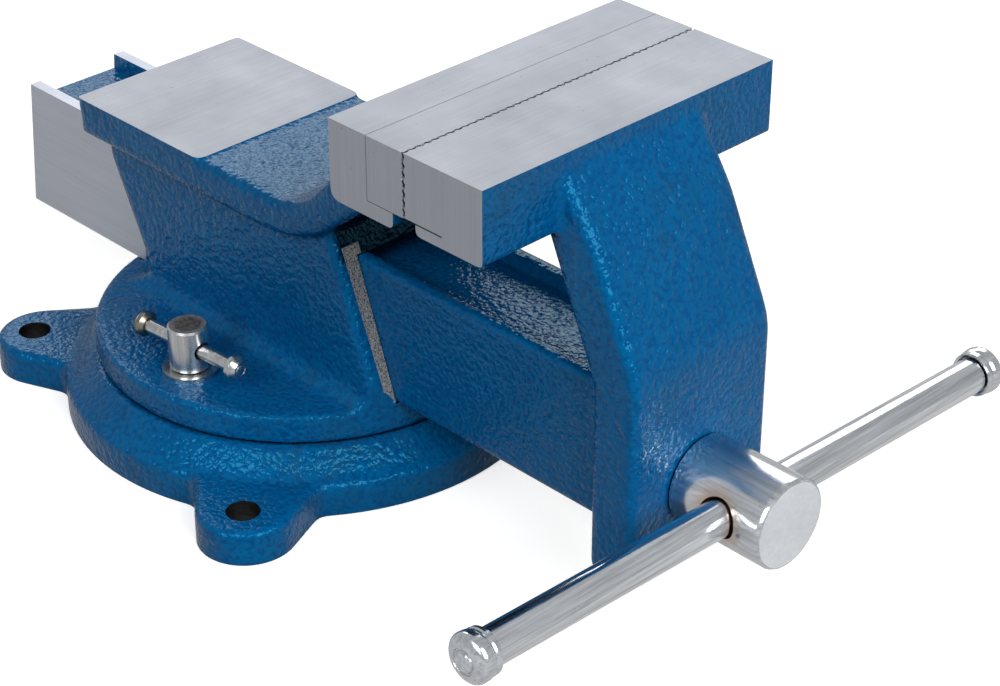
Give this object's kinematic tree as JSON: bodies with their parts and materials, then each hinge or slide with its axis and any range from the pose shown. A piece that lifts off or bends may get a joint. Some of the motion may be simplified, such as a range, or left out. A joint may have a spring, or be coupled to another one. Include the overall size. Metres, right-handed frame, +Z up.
{
  "type": "bench vise",
  "caption": "Swivel-base bench vise with a blue cast body, ground jaws and anvil, a sliding front jaw driven by a screw and tommy bar, and clamp screws that lock the swivel.",
  "frame": {"origin": "on the swivel axis at the base's bottom plane", "axes": "+X along the screw towards the handle, +Y to the right hand of the person at the handle, +Z up"},
  "size_m": [0.4293, 0.291, 0.1909],
  "materials": {
    "blue_enamel": "gloss hammered enamel",
    "ground_steel": "ground",
    "bright_plate": "bright plated",
    "dull_plate": "dull plated",
    "dark_steel": "blackened",
    "bare_iron": "bare"
  },
  "bodies": {
    "base": {"swivel_base": "blue_enamel"},
    "body": {"fixed_body": "blue_enamel", "fixed_jaw_plate": "ground_steel", "fixed_jaw_screws": "dark_steel", "spindle_nut": "bare_iron", "nut_screws": "dark_steel", "left_clamp_washer": "dull_plate", "right_clamp_washer": "dull_plate", "left_tee_nut": "dark_steel", "right_tee_nut": "dark_steel"},
    "front_jaw": {"movable_jaw": "blue_enamel", "movable_jaw_plate": "ground_steel", "movable_jaw_screws": "dark_steel"},
    "spindle": {"spindle": "bright_plate", "retaining_collar": "dark_steel", "collar_pin": "dark_steel"},
    "handle": {"handle_bar": "bright_plate", "near_handle_knob": "bright_plate", "far_handle_knob": "bright_plate"},
    "left_clamp": {"left_clamp_screw": "dull_plate"},
    "left_clamp_handle": {"left_clamp_bar": "dull_plate", "left_clamp_rear_knob": "dull_plate", "left_clamp_front_knob": "dull_plate"},
    "right_clamp": {"right_clamp_screw": "dull_plate"},
    "right_clamp_handle": {"right_clamp_bar": "dull_plate", "right_clamp_rear_knob": "dull_plate", "right_clamp_front_knob": "dull_plate"}
  },
  "joints": [
    {"name": "swivel", "type": "hinge", "parent": "base", "child": "body", "pos_m": [0, 0, 0], "axis": [0, 0, 1], "continuous": true},
    {"name": "jaw_slide", "type": "slide", "parent": "body", "child": "front_jaw", "axis": [1, 0, 0], "range_m": [0, 0.15]},
    {"name": "spindle_turn", "type": "hinge", "parent": "front_jaw", "child": "spindle", "pos_m": [0.2, 0, 0.0582], "axis": [1, 0, 0], "range_deg": [0, 9000]},
    {"name": "handle_slide", "type": "slide", "parent": "spindle", "child": "handle", "axis": [0, 0.9995, -0.0325], "range_m": [-0.1172, 0.1144]},
    {"name": "left_clamp_turn", "type": "hinge", "parent": "body", "child": "left_clamp", "pos_m": [0.0068, -0.068, 0.05], "axis": [0, 0, 1], "range_deg": [-35, 30]},
    {"name": "left_clamp_bar_slide", "type": "slide", "parent": "left_clamp", "child": "left_clamp_handle", "axis": [0.9968, 0.0802, 0], "range_m": [-0.0157, 0.0147]},
    {"name": "right_clamp_turn", "type": "hinge", "parent": "body", "child": "right_clamp", "pos_m": [0.0068, 0.068, 0.05], "axis": [0, 0, 1], "range_deg": [-30, 35]},
    {"name": "right_clamp_bar_slide", "type": "slide", "parent": "right_clamp", "child": "right_clamp_handle", "axis": [0.9968, -0.0802, 0], "range_m": [-0.0157, 0.0147]}
  ],
  "couplings": [
    {"joint": "jaw_slide", "follows": "spindle_turn", "m_per_rad": 0.00095493}
  ]
}
